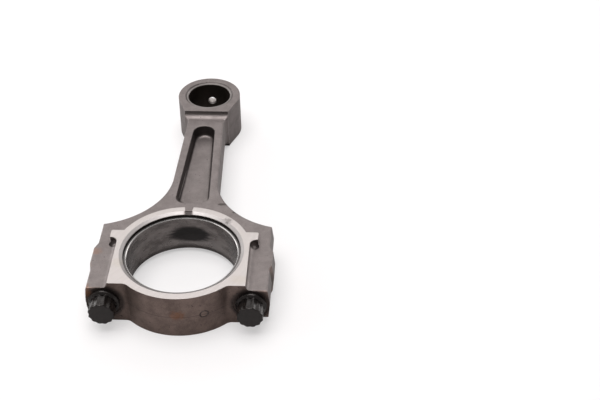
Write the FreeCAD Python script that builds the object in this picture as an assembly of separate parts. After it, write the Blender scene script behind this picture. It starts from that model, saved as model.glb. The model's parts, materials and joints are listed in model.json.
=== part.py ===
"""Connecting rod with a bolted cap, in millimetres.

Origin: centre of the big-end bore at half its width. +Z runs along both bores, +Y along the rod
towards the small end, +X to the right. The joint between rod and cap is the plane Y = 0.
"""
import FreeCAD, Part
import math
import os

V = FreeCAD.Vector

# ---- driving dimensions -------------------------------------------------------------------------
CENTRES = 135.0          # big-end centre to small-end centre
FACE_Z = 11.75           # half the width across the machined thrust faces
FORGED_Z = 8.4           # half the thickness of the forging: shank, shoulders and bolt bosses
DRAFT = 0.9              # how far the forged sides lean in from the mid-plane to the broad face
FORGED_EDGE_R = 0.9      # rounding along the edges of the broad faces

HOUSING_R = 28.0         # bore of the big end, which the shells sit in
HOUSING_CHAMFER_R = 1.8  # chamfer at the bore's mouth, across
HOUSING_CHAMFER_Z = 1.0  # and down
CRANKPIN_R = 26.5        # bore of the bearing shells
SHELL_Z = 9.7            # half the width of the shells
SHELL_EDGE = 0.35        # chamfer along the shells' inner edges
TANG_REACH = 1.1         # the locating tang, outwards
TANG_LENGTH = 3.2        # along the rod
TANG_WIDTH = 4.5         # along the bore
TANG_Z = 3.0             # where the tang starts
TANG_PLAY = 0.15

PIN_R = 11.75            # bore of the small-end bush
BUSH_R = 13.0            # outside of the bush, and bore of the small end
BUSH_Z = 11.3            # half the length of the bush
BUSH_EDGE = 0.4
SMALL_END_R = 17.45
SMALL_END_FLAT = 16.7    # centre of the small end to the straight step above the shank
SMALL_END_LEAN = 22.0    # degrees that the small end's straight flanks lean in
SMALL_END_EDGE_R = 0.5
SMALL_CHAMFER = 0.65     # chamfer at the small-end bore's mouth
STEP_FILLET_R = 3.9      # hollow fillet from the small end down to the shank
FLARE_R = 6.0            # the shank's sides flare out by this curve to meet the small end
OIL_HOLE_R = 2.15

SHANK_HALF = 12.4        # half-width of the shank where the shoulder curve ends, at the mid-plane
SHANK_LEAN = 1.8         # degrees that the shank narrows towards the small end
SHOULDER_CX = 51.6       # centre of the big hollow curve from shank to shoulder
SHOULDER_CY = 62.0
SHOULDER_HALF = 42.6     # half-width of the shoulders
BOSS_HALF = 44.2         # half-width at the joint
BOSS_STEP_LOW = 5.0      # the shoulder swells out to the boss between these two
BOSS_STEP_HIGH = 9.0
CAP_HALF = 43.2          # half-width of the cap's bosses
CAP_STEP_LOW = 5.5
CAP_STEP_HIGH = 8.5

PAD_R = 33.0             # raised thrust face round the rod's half of the bore
PAD_HALF = 32.1          # half-width of the thrust face beside the bore
HORN_HALF = 35.9         # the thrust face's horns, at the rod end of each boss
HORN_TOP = 14.4
HORN_LOW = 9.1
HORN_NOTCH_LOW = 5.6
HORN_CORNER_R = 0.9
HORN_SAG = 1.2           # hollow of the horn's underside
PAD_FILLET_R = 3.35      # hollow fillet from thrust face to boss
PIT_R = 2.5              # forged hollow under each horn
PIT_OUT = 1.9            # its centre, outwards from the thrust face's flank
PIT_BELOW = 1.3          # towards the joint from the horn
PIT_UP = 0.35            # and up from the boss
NOTCH_TOP_HALF = 2.3     # tapered notch in the rod's thrust face, wide at its outer end
NOTCH_LOW_HALF = 1.4

STRAP_R = 33.4           # outside of the cap's strap
SEAT_Y = -23.7           # front of the cap's bosses
SPOT_DEPTH = 0.4         # spot-face under each screw head
SPOT_R = 8.8
SEAT_FILLET_R = 4.5      # hollow fillet from boss front to strap

POCKET_TOP = 108.7       # far end of the I-beam pocket
POCKET_TOP_HALF = 5.9
POCKET_LOW = 40.3        # near end
POCKET_LOW_HALF = 8.4
POCKET_CORNER_R = 5.0
POCKET_RUN_OUT = 6.0     # the near end slopes down over this length
POCKET_WALL_LEAN = 0.9
WEB_Z = 2.2              # half the thickness of the web
WEB_FILLET_R = 2.0
POCKET_EDGE_R = 0.6

SCREW_X = 34.4           # the two cap screws, either side
HEAD_FRONT_Y = -32.6
HEAD_FACE_R = 5.4
HEAD_POINT_R = 6.3       # twelve-point head: outer points
HEAD_VALLEY_R = 5.72     # and the valleys between them
HEAD_POINTS = 12
HEAD_CHAMFER = 0.7
FLANGE_R = 7.3
FLANGE_EDGE = 1.5        # straight part of the flange
FLANGE_RISE = 0.8        # sloped part up to the head
FLANGE_ROUND = 0.2       # bevels along the flange's edge
SHANK_R = 4.35
THREAD_R = 4.5
THREAD_ROOT_R = 3.9
THREAD_PITCH = 1.0
THREAD_FLANK = 0.42      # a thread's sloped side, along the screw
THREAD_CREST = 0.12      # and its flat top
THREAD_LEAD_IN = 0.5     # slope from the plain shank down to the thread's root
THREAD_START_Y = 3.5
THREAD_TURNS = 16
TIP_R = 3.6
TIP_BEVEL = 0.6
CAP_HOLE_R = 4.75
ROD_HOLE_R = 4.6
ROD_HOLE_DEPTH = 21.6

SLEEVE_R = 5.3
SLEEVE_BORE_R = 4.66
SLEEVE_HALF = 3.5
SLEEVE_POCKET = 3.7
SLEEVE_PLAY = 0.06       # running clearance in the cap

PUNCH_MARK = (13.2, 0.2) # hardness-test mark on the strap: X and Z of its centre
PUNCH_R = 2.0
PUNCH_LINE = 0.35
PUNCH_DEPTH = 0.25

OVERLAP = 1.0            # how far shapes run into each other where they are joined or cut
SLACK = 0.01             # tolerance for picking out edges by their place
BIG = 200.0


# ---- helpers ------------------------------------------------------------------------------------
def box(x0, x1, y0, y1, z0, z1):
    """A box between two corners."""
    return Part.makeBox(x1 - x0, y1 - y0, z1 - z0, V(x0, y0, z0))


def cyl(radius, y0, y1, x=0.0):
    """A cylinder along the rod's Y direction."""
    return Part.makeCylinder(radius, y1 - y0, V(x, y0, 0), V(0, 1, 0))


def bore(radius, half, y=0.0):
    """A cylinder along Z, the same amount above and below the mid-plane."""
    return Part.makeCylinder(radius, 2 * half, V(0, y, -half))


def line(a, b):
    return Part.LineSegment(V(*a), V(*b)).toShape()


def arc(a, middle, b):
    return Part.Arc(V(*a), V(*middle), V(*b)).toShape()


def prism(edges, direction):
    """The flat outline made by the edges, pushed along a direction."""
    return Part.Face(Part.Wire(Part.__sortEdges__(edges))).extrude(V(*direction))


def both_sides(shape):
    """The shape and its mirror image left of the rod's axis."""
    return [shape, shape.mirror(V(0, 0, 0), V(1, 0, 0))]


def both_faces(shape):
    """The shape and its mirror image under the mid-plane."""
    return [shape, shape.mirror(V(0, 0, 0), V(0, 0, 1))]


def all_round(shape):
    """The shape and its images on the other side and under the mid-plane."""
    return [copy for side in both_sides(shape) for copy in both_faces(side)]


def fillet_edges(shape, radius, wanted):
    """Rounds every edge that the test picks out."""
    return shape.makeFillet(radius, [edge for edge in shape.Edges if wanted(edge)])


def ring_profile(points):
    """A solid turned about Z from (radius, z) points."""
    corners = [V(r, 0, z) for r, z in points]
    face = Part.Face(Part.makePolygon(corners + corners[:1]))
    return face.revolve(V(0, 0, 0), V(0, 0, 1), 360)


# ---- forging ------------------------------------------------------------------------------------
def rod_outline(inset, z):
    """Outline of the rod's forging: joint, bosses, shoulders, shank."""
    lean = math.radians(SHANK_LEAN)
    radius = SHOULDER_CX - SHANK_HALF + inset
    shoulder = SHOULDER_HALF - inset
    corner = (shoulder, SHOULDER_CY - math.sqrt(radius ** 2 - (SHOULDER_CX - shoulder) ** 2), z)
    tangent = (SHOULDER_CX - radius * math.cos(lean), SHOULDER_CY - radius * math.sin(lean), z)
    turn = math.radians(40)
    middle = (SHOULDER_CX - radius * math.cos(turn), SHOULDER_CY - radius * math.sin(turn), z)
    top = CENTRES - PIN_R
    end = (tangent[0] - (top - tangent[1]) * math.tan(lean), top, z)
    boss = BOSS_HALF - inset
    right = [
        line((boss, 0, z), (boss, BOSS_STEP_LOW, z)),
        line((boss, BOSS_STEP_LOW, z), (shoulder, BOSS_STEP_HIGH, z)),
        line((shoulder, BOSS_STEP_HIGH, z), corner),
        arc(corner, middle, tangent),
        line(tangent, end),
    ]
    left = [edge.mirror(V(0, 0, 0), V(1, 0, 0)) for edge in right]
    ends = [line((-boss, 0, z), (boss, 0, z)), line((-end[0], top, z), end)]
    return Part.Wire(Part.__sortEdges__(right + left + ends))


def cap_outline(inset, z):
    """Outline of the cap's forging, straight across behind the strap."""
    boss = BOSS_HALF - inset
    side = CAP_HALF - inset
    points = [(boss, 0), (boss, -CAP_STEP_LOW), (side, -CAP_STEP_HIGH), (side, SEAT_Y)]
    points += [(-x, y) for x, y in reversed(points)]
    corners = [V(x, y, z) for x, y in points]
    return Part.makePolygon(corners + corners[:1])


def forging(outline, keep_sharp):
    """Two drafted halves back to back, with rounded edges round the broad faces."""
    half = Part.makeLoft([outline(0, 0), outline(DRAFT, FORGED_Z)], True, True)

    def on_broad_face(edge):
        box_ = edge.BoundBox
        return box_.ZMin > FORGED_Z - SLACK and not any(
            abs(box_.YMin - y) < SLACK and abs(box_.YMax - y) < SLACK for y in keep_sharp)

    half = fillet_edges(half, FORGED_EDGE_R, on_broad_face)
    upper, lower = both_faces(half)
    return upper.fuse(lower)


def pocket_outline(y_low, y_high, low_half, high_half, corner, z):
    """Outline of the I-beam pocket: round far end, straight tapered sides, rounded near corners."""
    top_y = y_high - high_half
    side_y = y_low + corner
    k = corner * (1 - math.sqrt(0.5))
    right = [
        line((high_half, top_y, z), (low_half, side_y, z)),
        arc((low_half, side_y, z), (low_half - k, y_low + k, z), (low_half - corner, y_low, z)),
    ]
    left = [edge.mirror(V(0, 0, 0), V(1, 0, 0)) for edge in right]
    ends = [
        line((low_half - corner, y_low, z), (corner - low_half, y_low, z)),
        arc((-high_half, top_y, z), (0, y_high, z), (high_half, top_y, z)),
    ]
    return Part.Wire(Part.__sortEdges__(right + left + ends))


def pocket():
    """The hollow cut into each broad face of the shank, which leaves the I section."""
    lean = POCKET_WALL_LEAN
    mouth = pocket_outline(POCKET_LOW, POCKET_TOP, POCKET_LOW_HALF, POCKET_TOP_HALF,
                           POCKET_CORNER_R, FORGED_Z)
    floor = pocket_outline(POCKET_LOW + POCKET_RUN_OUT, POCKET_TOP - lean, POCKET_LOW_HALF - lean,
                           POCKET_TOP_HALF - lean, POCKET_CORNER_R, WEB_Z)
    hollow = Part.makeLoft([floor, mouth], True, True)
    return fillet_edges(hollow, WEB_FILLET_R, lambda edge: edge.BoundBox.ZMax < WEB_Z + SLACK)


def step_half():
    """Half the length of the small end's straight step, between its two leaning flanks."""
    lean = math.radians(SMALL_END_LEAN)
    return (SMALL_END_R - SMALL_END_FLAT * math.sin(lean)) / math.cos(lean)


def small_end():
    """The eye for the piston pin: round at the tip, with flanks that lean in to a straight step."""
    lean = math.radians(SMALL_END_LEAN)
    low = CENTRES - SMALL_END_FLAT
    tangent_x = SMALL_END_R * math.cos(lean)
    tangent_y = CENTRES - SMALL_END_R * math.sin(lean)
    corner_x = step_half()
    z = -FACE_Z
    edges = [
        line((-corner_x, low, z), (corner_x, low, z)),
        line((corner_x, low, z), (tangent_x, tangent_y, z)),
        arc((tangent_x, tangent_y, z), (0, CENTRES + SMALL_END_R, z), (-tangent_x, tangent_y, z)),
        line((-tangent_x, tangent_y, z), (-corner_x, low, z)),
    ]
    eye = prism(edges, (0, 0, 2 * FACE_Z))
    return fillet_edges(eye, SMALL_END_EDGE_R,
                        lambda edge: edge.BoundBox.ZMax - edge.BoundBox.ZMin < SLACK
                        and edge.BoundBox.YMax > low + SLACK)


def shank_half(inset, y):
    """Half-width of the straight stretch of the shank."""
    return SHANK_HALF - inset - (y - SHOULDER_CY) * math.tan(math.radians(SHANK_LEAN))


def neck_outline(inset, z):
    """Outline of the shank's last stretch, whose sides flare out to the small end's step."""
    step = CENTRES - SMALL_END_FLAT
    low = step - FLARE_R
    half = shank_half(inset, low)
    wide = step_half()
    turn = math.acos(1 - (wide - half) / FLARE_R)
    high = low + FLARE_R * math.sin(turn)
    middle = (half + FLARE_R * (1 - math.cos(turn / 2)), low + FLARE_R * math.sin(turn / 2), z)
    right = [
        arc((half, low, z), middle, (wide, high, z)),
        line((wide, high, z), (wide, step + OVERLAP, z)),
    ]
    left = [edge.mirror(V(0, 0, 0), V(1, 0, 0)) for edge in right]
    ends = [
        line((-half, low, z), (half, low, z)),
        line((-wide, step + OVERLAP, z), (wide, step + OVERLAP, z)),
    ]
    return Part.Wire(Part.__sortEdges__(right + left + ends))


def neck():
    """The flared stretch of the shank below the small end's step."""
    half = Part.makeLoft([neck_outline(0, 0), neck_outline(DRAFT, FORGED_Z)], True, True)
    half = fillet_edges(half, FORGED_EDGE_R, lambda edge: edge.BoundBox.ZMin > FORGED_Z - SLACK
                        and edge.BoundBox.YMax - edge.BoundBox.YMin > SLACK)
    return both_faces(half)


def step_fillet():
    """Hollow fillets from the small end's step down to the shank's broad faces."""
    r = STEP_FILLET_R
    step = CENTRES - SMALL_END_FLAT
    slip = r - math.sqrt(r ** 2 - (r - FACE_Z + FORGED_Z) ** 2)
    k = r * math.sqrt(0.5)
    x = -SMALL_END_R
    edges = [
        line((x, step, FORGED_Z), (x, step - r, FORGED_Z)),
        arc((x, step - r, FORGED_Z), (x, step - r + k, FORGED_Z + r - k), (x, step - slip, FACE_Z)),
        line((x, step - slip, FACE_Z), (x, step + OVERLAP, FACE_Z)),
        line((x, step + OVERLAP, FACE_Z), (x, step + OVERLAP, FORGED_Z)),
        line((x, step + OVERLAP, FORGED_Z), (x, step, FORGED_Z)),
    ]
    curve = prism(edges, (2 * SMALL_END_R, 0, 0))
    plan = Part.Face(neck_outline(DRAFT, 0)).extrude(V(0, 0, FACE_Z))
    return both_faces(curve.common(plan))


# ---- thrust faces -------------------------------------------------------------------------------
def rod_pad():
    """The raised thrust face of the rod: a ring with a horn at each boss."""
    z = -FACE_Z
    join_x = math.sqrt(PAD_R ** 2 - HORN_TOP ** 2)
    c = HORN_CORNER_R
    k = c * (1 - math.sqrt(0.5))
    chord = V(HORN_HALF - PAD_HALF, HORN_LOW - HORN_NOTCH_LOW, 0).normalize()
    sag = V(-chord.y, chord.x, 0) * HORN_SAG
    under = ((PAD_HALF + HORN_HALF) / 2 + sag.x, (HORN_LOW + HORN_NOTCH_LOW) / 2 + sag.y, z)
    right = [
        line((PAD_HALF, 0, z), (PAD_HALF, HORN_NOTCH_LOW, z)),
        arc((PAD_HALF, HORN_NOTCH_LOW, z), under, (HORN_HALF, HORN_LOW, z)),
        line((HORN_HALF, HORN_LOW, z), (HORN_HALF, HORN_TOP - c, z)),
        arc((HORN_HALF, HORN_TOP - c, z), (HORN_HALF - k, HORN_TOP - k, z),
            (HORN_HALF - c, HORN_TOP, z)),
        line((HORN_HALF - c, HORN_TOP, z), (join_x, HORN_TOP, z)),
    ]
    left = [edge.mirror(V(0, 0, 0), V(1, 0, 0)) for edge in right]
    rest = [
        line((-PAD_HALF, 0, z), (PAD_HALF, 0, z)),
        arc((-join_x, HORN_TOP, z), (0, PAD_R, z), (join_x, HORN_TOP, z)),
    ]
    return prism(right + left + rest, (0, 0, 2 * FACE_Z))


def cap_pad():
    """The cap's thrust faces and strap, at full width from face to face."""
    strap = bore(STRAP_R, FACE_Z).common(box(-PAD_HALF, PAD_HALF, -BIG, 0, -BIG, BIG))
    wing = box(-PAD_HALF, PAD_HALF, SEAT_Y, 0, -FACE_Z, FACE_Z)
    return strap.fuse(wing)


def seat_fillets():
    """Hollow upright fillets from the cap's boss fronts to the strap."""
    r = SEAT_FILLET_R
    centre_y = SEAT_Y - r
    centre_x = math.sqrt((STRAP_R + r) ** 2 - centre_y ** 2)
    touch = V(centre_x, centre_y, 0) * (STRAP_R / (STRAP_R + r))
    inner = V(touch.x - 2 * OVERLAP, SEAT_Y + OVERLAP, 0)
    away = math.atan2(touch.y - centre_y, touch.x - centre_x)
    middle = (away + math.pi / 2) / 2
    z = -FACE_Z
    edges = [
        line((centre_x, SEAT_Y, z), (centre_x, SEAT_Y + OVERLAP, z)),
        line((centre_x, SEAT_Y + OVERLAP, z), (inner.x, inner.y, z)),
        line((inner.x, inner.y, z), (touch.x, touch.y, z)),
        arc((touch.x, touch.y, z),
            (centre_x + r * math.cos(middle), centre_y + r * math.sin(middle), z),
            (centre_x, SEAT_Y, z)),
    ]
    return both_sides(prism(edges, (0, 0, 2 * FACE_Z)))


def pad_fillets(y0, y1):
    """Hollow fillets from the thrust faces' flanks to the bosses, over a stretch of the rod."""
    r = PAD_FILLET_R
    k = r * math.sqrt(0.5)
    x, z = PAD_HALF, FORGED_Z
    inner = x - OVERLAP
    edges = [
        line((inner, y0, z - OVERLAP), (inner, y0, z + r)),
        line((inner, y0, z + r), (x, y0, z + r)),
        arc((x, y0, z + r), (x + r - k, y0, z + r - k), (x + r, y0, z)),
        line((x + r, y0, z), (x + r, y0, z - OVERLAP)),
        line((x + r, y0, z - OVERLAP), (inner, y0, z - OVERLAP)),
    ]
    return all_round(prism(edges, (0, y1 - y0, 0)))


def housing_cut():
    """The big-end bore, with the chamfer at both mouths."""
    cone = Part.makeCone(HOUSING_R, HOUSING_R + HOUSING_CHAMFER_R, HOUSING_CHAMFER_Z,
                         V(0, 0, FACE_Z - HOUSING_CHAMFER_Z))
    cut = bore(HOUSING_R, FACE_Z + OVERLAP)
    return cut.fuse(both_faces(cone))


def horn_pits():
    """The forged hollows between each horn and the boss below it."""
    pit = Part.makeSphere(PIT_R, V(PAD_HALF + PIT_OUT, HORN_LOW - PIT_BELOW, FORGED_Z + PIT_UP))
    return all_round(pit)


def thrust_notches():
    """The tapered notch in each of the rod's thrust faces, on the shank's centreline.

    Its floor slopes from the foot of the bore's chamfer down to the forging.
    """
    inner = HOUSING_R - OVERLAP
    outer = PAD_R + OVERLAP
    above = FACE_Z + OVERLAP
    slope = OVERLAP * (FACE_Z - HOUSING_CHAMFER_Z - FORGED_Z) / (PAD_R - HOUSING_R)
    floor = [(inner, FACE_Z - HOUSING_CHAMFER_Z + slope), (outer, FORGED_Z - slope)]
    side = [V(0, y, z) for y, z in floor + [(outer, above), (inner, above)]]
    depth = Part.Face(Part.makePolygon(side + side[:1])).extrude(V(BIG, 0, 0))
    depth.translate(V(-BIG / 2, 0, 0))
    plan = [V(-NOTCH_LOW_HALF, inner, 0), V(NOTCH_LOW_HALF, inner, 0), V(NOTCH_TOP_HALF, outer, 0),
            V(-NOTCH_TOP_HALF, outer, 0)]
    taper = Part.Face(Part.makePolygon(plan + plan[:1])).extrude(V(0, 0, above))
    return both_faces(taper.common(depth))


# ---- sub-parts ----------------------------------------------------------------------------------
def tang_slot(y_sign, play):
    """The space of one bearing tang: on +X, beside the joint plane."""
    length = TANG_LENGTH + play
    y0, y1 = (0, length) if y_sign > 0 else (-length, 0)
    return box((CRANKPIN_R + HOUSING_R) / 2, HOUSING_R + TANG_REACH + play, y0, y1,
               TANG_Z - play, TANG_Z + TANG_WIDTH + play)


def rod_body():
    """The forged rod: eye, I-beam shank, shoulders and the upper half of the big end."""
    body = forging(rod_outline, (0.0, CENTRES - PIN_R))
    body = body.cut(both_faces(pocket()))
    body = fillet_edges(body, POCKET_EDGE_R, is_pocket_mouth)
    solids = [rod_pad(), small_end()] + neck() + step_fillet() + pad_fillets(0, HORN_NOTCH_LOW)
    body = body.fuse(solids)
    holes = [housing_cut(), tang_slot(1, TANG_PLAY), bore(BUSH_R, FACE_Z + OVERLAP, CENTRES)]
    chamfer = Part.makeCone(BUSH_R, BUSH_R + SMALL_CHAMFER, SMALL_CHAMFER,
                            V(0, CENTRES, FACE_Z - SMALL_CHAMFER))
    holes += both_faces(chamfer)
    holes += both_sides(cyl(ROD_HOLE_R, 0, ROD_HOLE_DEPTH, SCREW_X))
    holes += both_sides(cyl(SLEEVE_R, 0, SLEEVE_POCKET, SCREW_X))
    holes.append(cyl(OIL_HOLE_R, CENTRES, CENTRES + SMALL_END_R + OVERLAP))
    body = body.cut(holes).cut(horn_pits()).cut(thrust_notches())
    return body.removeSplitter()


def is_pocket_mouth(edge):
    """True for the edges where a pocket opens in a broad face."""
    b = edge.BoundBox
    flat = b.ZMax - b.ZMin < SLACK and abs(abs(b.ZMax) - FORGED_Z) < SLACK
    across = max(-b.XMin, b.XMax) < POCKET_LOW_HALF + SLACK
    return flat and across and b.YMin > POCKET_LOW - SLACK and b.YMax < POCKET_TOP + SLACK


def rod_cap():
    """The cap: strap and two bosses, bored for the shell and the screws."""
    body = forging(cap_outline, (0.0,))
    body = body.fuse([cap_pad()] + pad_fillets(SEAT_Y, 0) + seat_fillets())
    holes = [housing_cut(), tang_slot(-1, TANG_PLAY)]
    holes += both_sides(cyl(CAP_HOLE_R, SEAT_Y - OVERLAP, 0, SCREW_X))
    holes += both_sides(cyl(SPOT_R, SEAT_Y - BIG, SEAT_Y + SPOT_DEPTH, SCREW_X))
    holes += both_sides(cyl(SLEEVE_R + SLEEVE_PLAY, -SLEEVE_POCKET, 0, SCREW_X))
    holes.append(punch_mark())
    return body.cut(holes).removeSplitter()


def punch_mark():
    """A shallow ring in the strap's front, left by a hardness test."""
    x, z = PUNCH_MARK
    surface = -math.sqrt(STRAP_R ** 2 - x ** 2)
    normal = V(x, surface, 0) * (1 / STRAP_R)
    start = V(x, surface, z) - normal * PUNCH_DEPTH
    outer = Part.makeCylinder(PUNCH_R, OVERLAP, start, normal)
    return outer.cut(Part.makeCylinder(PUNCH_R - PUNCH_LINE, OVERLAP, start, normal))


def bearing_shell(y_sign):
    """A half shell with its locating tang."""
    e = SHELL_EDGE
    ring = ring_profile([(CRANKPIN_R, -SHELL_Z + e), (CRANKPIN_R + e, -SHELL_Z), (HOUSING_R, -SHELL_Z),
                         (HOUSING_R, SHELL_Z), (CRANKPIN_R + e, SHELL_Z), (CRANKPIN_R, SHELL_Z - e)])
    tang = tang_slot(y_sign, 0).cut(bore(CRANKPIN_R + e, BIG))
    y0, y1 = (0, BIG) if y_sign > 0 else (-BIG, 0)
    return ring.fuse(tang).common(box(-BIG, BIG, y0, y1, -BIG, BIG))


def small_end_bush():
    """The pressed-in bush for the piston pin, with its oil hole."""
    e = BUSH_EDGE
    ring = ring_profile([(PIN_R, -BUSH_Z + e), (PIN_R + e, -BUSH_Z), (BUSH_R, -BUSH_Z),
                         (BUSH_R, BUSH_Z), (PIN_R + e, BUSH_Z), (PIN_R, BUSH_Z - e)])
    ring.translate(V(0, CENTRES, 0))
    return ring.cut(cyl(OIL_HOLE_R, CENTRES, CENTRES + BUSH_R + OVERLAP))


def dowel_sleeve(x):
    """A thin sleeve round the screw that lines the cap up with the rod."""
    return cyl(SLEEVE_R, -SLEEVE_HALF, SLEEVE_HALF, x).cut(cyl(SLEEVE_BORE_R, -SLEEVE_HALF, SLEEVE_HALF, x))


def screw_profile():
    """(radius, y) points of the screw behind its head, threads as separate grooves."""
    seat = SEAT_Y + SPOT_DEPTH
    rim = seat - FLANGE_EDGE
    points = [(0, rim - FLANGE_RISE), (HEAD_VALLEY_R, rim - FLANGE_RISE),
              (FLANGE_R - FLANGE_ROUND, rim - FLANGE_ROUND / 2), (FLANGE_R, rim + FLANGE_ROUND),
              (FLANGE_R, seat - FLANGE_ROUND), (FLANGE_R - FLANGE_ROUND, seat), (SHANK_R, seat),
              (SHANK_R, THREAD_START_Y - 2 * THREAD_LEAD_IN),
              (THREAD_ROOT_R, THREAD_START_Y - THREAD_LEAD_IN)]
    for turn in range(THREAD_TURNS):
        y = THREAD_START_Y + turn * THREAD_PITCH
        crest = y + THREAD_FLANK
        points += [(THREAD_ROOT_R, y), (THREAD_R, crest), (THREAD_R, crest + THREAD_CREST)]
    end = THREAD_START_Y + THREAD_TURNS * THREAD_PITCH
    points += [(THREAD_ROOT_R, end), (TIP_R, end + TIP_BEVEL), (0, end + TIP_BEVEL)]
    return points


def cap_screw(x):
    """A twelve-point flange screw, head towards -Y."""
    corners = [V(r, y, 0) for r, y in screw_profile()]
    stem = Part.Face(Part.makePolygon(corners + corners[:1])).revolve(V(0, 0, 0), V(0, 1, 0), 360)
    back = SEAT_Y + SPOT_DEPTH - FLANGE_EDGE
    star = []
    for step in range(2 * HEAD_POINTS):
        radius = HEAD_POINT_R if step % 2 else HEAD_VALLEY_R
        turn = math.pi * step / HEAD_POINTS
        star.append(V(radius * math.cos(turn), HEAD_FRONT_Y, radius * math.sin(turn)))
    head = Part.Face(Part.makePolygon(star + star[:1])).extrude(V(0, back - HEAD_FRONT_Y, 0))
    length = back - HEAD_FRONT_Y
    slope = (HEAD_POINT_R - HEAD_FACE_R) / HEAD_CHAMFER
    rounder = Part.makeCone(HEAD_FACE_R, HEAD_FACE_R + slope * length, length,
                            V(0, HEAD_FRONT_Y, 0), V(0, 1, 0))
    screw = stem.fuse(head.common(rounder))
    screw.translate(V(x, 0, 0))
    return screw.removeSplitter()


def main():
    os.makedirs("parts", exist_ok=True)
    nodes = {
        "rod_body": rod_body(),
        "rod_cap": rod_cap(),
        "bearing_shell_rod_side": bearing_shell(1),
        "bearing_shell_cap_side": bearing_shell(-1),
        "small_end_bush": small_end_bush(),
        "dowel_sleeve_left": dowel_sleeve(-SCREW_X),
        "dowel_sleeve_right": dowel_sleeve(SCREW_X),
        "cap_screw_left": cap_screw(-SCREW_X),
        "cap_screw_right": cap_screw(SCREW_X),
    }
    for name, shape in nodes.items():
        print(name, "solids", len(shape.Solids), "valid", shape.isValid(), "volume", round(shape.Volume))
        shape.exportStep(f"parts/{name}.step")


main()
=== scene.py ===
"""Finishes and fine detail of a forged connecting rod with a bolted cap, in metres.

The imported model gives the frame: origin at the centre of the big-end bore, +Z along the bores, +Y towards
the small end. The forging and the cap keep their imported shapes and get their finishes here. The screws,
the bearing shells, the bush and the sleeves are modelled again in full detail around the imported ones.
"""
import json
import logging
import math
from dataclasses import dataclass
from enum import Enum
from typing import Callable, Iterable

import bpy
from mathutils import Matrix, Vector


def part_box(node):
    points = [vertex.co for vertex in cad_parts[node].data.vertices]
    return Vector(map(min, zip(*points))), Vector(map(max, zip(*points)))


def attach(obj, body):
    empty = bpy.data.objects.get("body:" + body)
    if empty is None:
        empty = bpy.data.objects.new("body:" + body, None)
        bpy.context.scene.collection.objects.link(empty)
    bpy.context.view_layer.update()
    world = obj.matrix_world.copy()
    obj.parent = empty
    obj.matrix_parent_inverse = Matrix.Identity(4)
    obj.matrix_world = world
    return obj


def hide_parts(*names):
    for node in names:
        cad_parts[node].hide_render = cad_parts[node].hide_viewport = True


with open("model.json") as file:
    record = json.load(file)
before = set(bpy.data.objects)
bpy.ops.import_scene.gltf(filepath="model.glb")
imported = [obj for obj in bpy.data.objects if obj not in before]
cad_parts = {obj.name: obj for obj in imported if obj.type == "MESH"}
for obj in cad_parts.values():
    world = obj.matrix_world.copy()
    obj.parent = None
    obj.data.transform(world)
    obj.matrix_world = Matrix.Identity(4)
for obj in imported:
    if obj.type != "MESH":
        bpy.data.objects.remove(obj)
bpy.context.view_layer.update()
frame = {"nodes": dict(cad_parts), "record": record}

log = logging.getLogger("connecting_rod")
MM = 0.001
WELD = 0.001 * MM  # corners nearer than this are one
CUT_WELD = 1e-7  # the same for the corners of a flat cut
Colour = tuple[float, float, float]
Socket = bpy.types.NodeSocket


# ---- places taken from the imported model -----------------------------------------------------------
@dataclass(frozen=True)
class RodSizes:
    """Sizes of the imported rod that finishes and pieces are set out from, in metres."""

    face_z: float
    centres: float
    crankpin_r: float
    housing_r: float
    shell_z: float
    pin_r: float
    bush_r: float
    bush_z: float
    sleeve_r: float
    sleeve_half: float
    screw_x: float
    screw_front: float
    screw_tip: float
    flange_r: float

    @classmethod
    def from_frame(cls) -> "RodSizes":
        """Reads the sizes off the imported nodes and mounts.

        Returns:
            The sizes in metres.
        """
        mounts = {mount["name"]: mount for mount in frame["record"]["mounts"]}
        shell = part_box("bearing_shell_rod_side")
        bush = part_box("small_end_bush")
        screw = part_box("cap_screw_right")
        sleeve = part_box("dowel_sleeve_right")
        return cls(
            face_z=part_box("rod_body")[1].z,
            centres=mounts["piston_pin_bore"]["pos_m"][1],
            crankpin_r=mounts["crankpin_bore"]["dims"]["r_mm"] * MM,
            housing_r=-shell[0].x,
            shell_z=shell[1].z,
            pin_r=mounts["piston_pin_bore"]["dims"]["r_mm"] * MM,
            bush_r=bush[1].x,
            bush_z=bush[1].z,
            sleeve_r=sleeve[1].z,
            sleeve_half=sleeve[1].y,
            screw_x=(screw[0].x + screw[1].x) / 2,
            screw_front=screw[0].y,
            screw_tip=screw[1].y,
            flange_r=screw[1].z,
        )


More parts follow.
